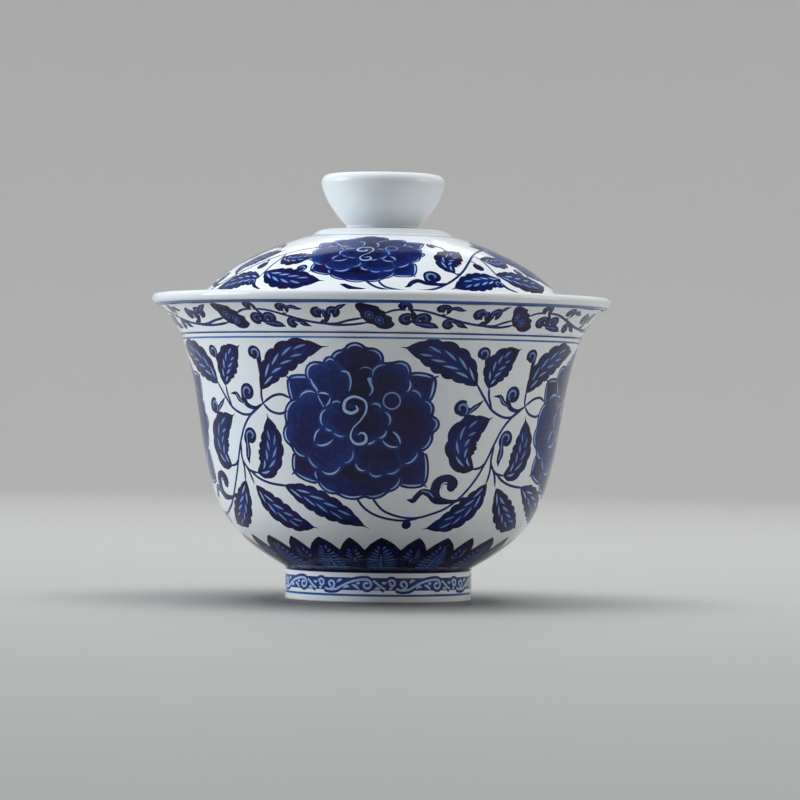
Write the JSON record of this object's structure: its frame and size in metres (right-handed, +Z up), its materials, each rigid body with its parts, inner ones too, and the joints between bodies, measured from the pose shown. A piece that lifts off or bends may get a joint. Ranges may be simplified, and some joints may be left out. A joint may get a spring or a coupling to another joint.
{
  "type": "gaiwan",
  "caption": "Lidded porcelain tea bowl with a flared lip, a foot ring, and a domed lid with a cup-shaped knob that lifts straight off.",
  "frame": {"origin": "on the bowl's axis, at the bottom of the foot ring", "axes": "+Z up along the bowl's axis, -Y towards the front, where a painted peony faces"},
  "size_m": [0.1, 0.1, 0.0924],
  "materials": {
    "painted_glaze": null,
    "white_glaze": null
  },
  "bodies": {
    "bowl": {"bowl": "painted_glaze"},
    "lid": {"lid": "painted_glaze", "lid_knob": "white_glaze"}
  },
  "joints": [
    {"name": "lid_lift", "type": "slide", "parent": "bowl", "child": "lid", "axis": [0, 0, 1], "range_m": [0, 0.06]}
  ]
}
